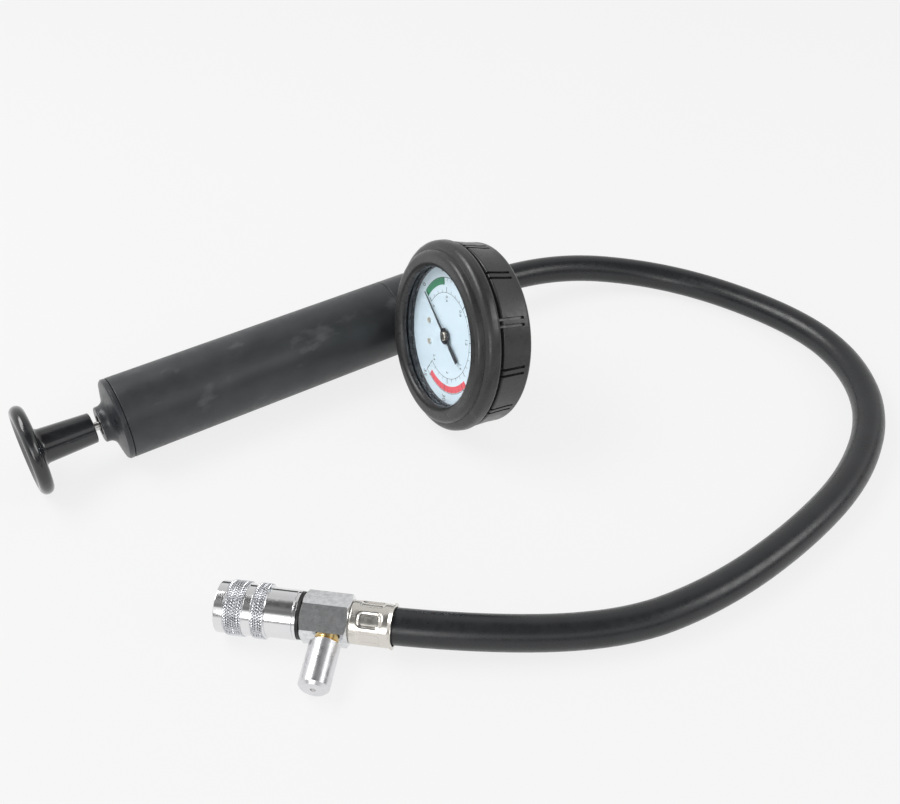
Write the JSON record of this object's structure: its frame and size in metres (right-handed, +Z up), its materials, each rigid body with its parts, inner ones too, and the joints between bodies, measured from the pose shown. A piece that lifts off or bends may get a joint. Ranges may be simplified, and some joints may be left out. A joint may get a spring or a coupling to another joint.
{
  "type": "radiator pressure tester",
  "caption": "Hand pump with a dial gauge in a rubber boot, a rubber hose, a release valve and a ball-lock quick coupler, for pressure-testing a cooling system.",
  "frame": {"origin": "on the surface that the tester lies on, under the middle of the pump and gauge, measured without the hose and its fitting", "axes": "+Z up, +X along the pump from the knob towards the hose, +Y away from the side where the gauge and the hose lie"},
  "size_m": [0.4471, 0.2957, 0.106],
  "materials": {
    "black_knob": "glossy moulded black plastic",
    "black_barrel": "satin black plastic",
    "black_head": "satin black plastic",
    "brass": "turned brass",
    "bright_steel": "bright steel",
    "inner_plastic": "natural nylon",
    "seal_rubber": "soft black rubber",
    "boot_rubber": "satin dark rubber",
    "hose_rubber": "satin black rubber",
    "case_metal": "black painted steel",
    "lens_clear": "clear",
    "dial_white": "white enamel",
    "pointer_black": "black enamel",
    "movement_brass": "stamped brass",
    "washer_copper": "copper",
    "ferrule_nickel": "satin nickel",
    "fitting_chrome": "polished nickel"
  },
  "bodies": {
    "root": {"barrel_tube": "black_barrel", "bezel_ring": "case_metal", "bourdon_tube": "movement_brass", "case_screws": "bright_steel", "coupler_body": "fitting_chrome", "coupler_o_ring": "seal_rubber", "dial_plate": "dial_white", "dial_screws": "bright_steel", "dial_spacers": "inner_plastic", "end_cap": "black_barrel", "end_ferrule": "ferrule_nickel", "face_seal": "seal_rubber", "gauge_boot": "boot_rubber", "gauge_case": "case_metal", "gauge_lens": "lens_clear", "gauge_socket": "brass", "head_o_ring": "seal_rubber", "hose_nipple": "fitting_chrome", "lens_gasket": "seal_rubber", "lock_balls": "bright_steel", "movement_back_plate": "movement_brass", "movement_front_plate": "movement_brass", "movement_pillars": "movement_brass", "movement_screws": "bright_steel", "pressure_hose": "hose_rubber", "pump_ferrule": "ferrule_nickel", "pump_head": "black_head", "release_body": "brass", "release_spring": "bright_steel", "rod_guide": "brass", "sleeve_spring": "bright_steel", "snap_ring": "bright_steel", "stem_washer": "washer_copper", "tee_body": "fitting_chrome", "tube_tip": "brass", "valve_retainer": "brass", "valve_spring": "bright_steel"},
    "plunger": {"handle_knob": "black_knob", "knob_insert": "brass", "pump_rod": "bright_steel", "piston_plate": "inner_plastic", "cup_seal": "seal_rubber", "cup_washer": "bright_steel", "piston_nut": "bright_steel"},
    "check_valve": {"check_poppet": "brass"},
    "needle": {"pointer": "pointer_black", "pointer_arbor": "bright_steel"},
    "sector": {"sector_gear": "movement_brass"},
    "link": {"link_bar": "bright_steel"},
    "lock_sleeve": {"coupler_sleeve": "fitting_chrome"},
    "release_button": {"release_cap": "fitting_chrome", "release_pin": "bright_steel", "release_seal": "seal_rubber"}
  },
  "joints": [
    {"name": "plunger_slide", "type": "slide", "parent": "root", "child": "plunger", "axis": [-1, 0, 0.0084], "range_m": [-0.002, 0.118]},
    {"name": "check_valve_lift", "type": "slide", "parent": "root", "child": "check_valve", "axis": [1, 0, -0.0084], "range_m": [0, 0.0012], "stiffness_N_per_m": 200, "springref_m": -0.002, "deforming": ["valve_spring"]},
    {"name": "needle_turn", "type": "hinge", "parent": "root", "child": "needle", "pos_m": [0.09857, -0.02305, 0.05057], "axis": [0.9705, -0.0823, -0.2266], "range_deg": [0, 270], "stiffness_Nm_per_rad": 0.002, "springref_deg": -5.73},
    {"name": "sector_turn", "type": "hinge", "parent": "root", "child": "sector", "pos_m": [0.09636, -0.01154, 0.0369], "axis": [0.9705, -0.0823, -0.2266], "range_deg": [-41.6, 0.1]},
    {"name": "link_swing", "type": "hinge", "parent": "sector", "child": "link", "pos_m": [0.09607, -0.00546, 0.03345], "axis": [0.9705, -0.0823, -0.2266], "range_deg": [-0.1, 41.6]},
    {"name": "sleeve_slide", "type": "slide", "parent": "root", "child": "lock_sleeve", "axis": [0.7396, -0.673, 0], "range_m": [0, 0.004], "stiffness_N_per_m": 1500, "springref_m": -0.003, "deforming": ["sleeve_spring"]},
    {"name": "release_press", "type": "slide", "parent": "root", "child": "release_button", "axis": [0.6642, 0.73, 0.1613], "range_m": [0, 0.0015], "stiffness_N_per_m": 1500, "springref_m": -0.002, "deforming": ["release_spring"]}
  ],
  "couplings": [
    {"joint": "sector_turn", "follows": "needle_turn", "ratio": -0.15385},
    {"joint": "link_swing", "follows": "needle_turn", "ratio": 0.15385}
  ]
}
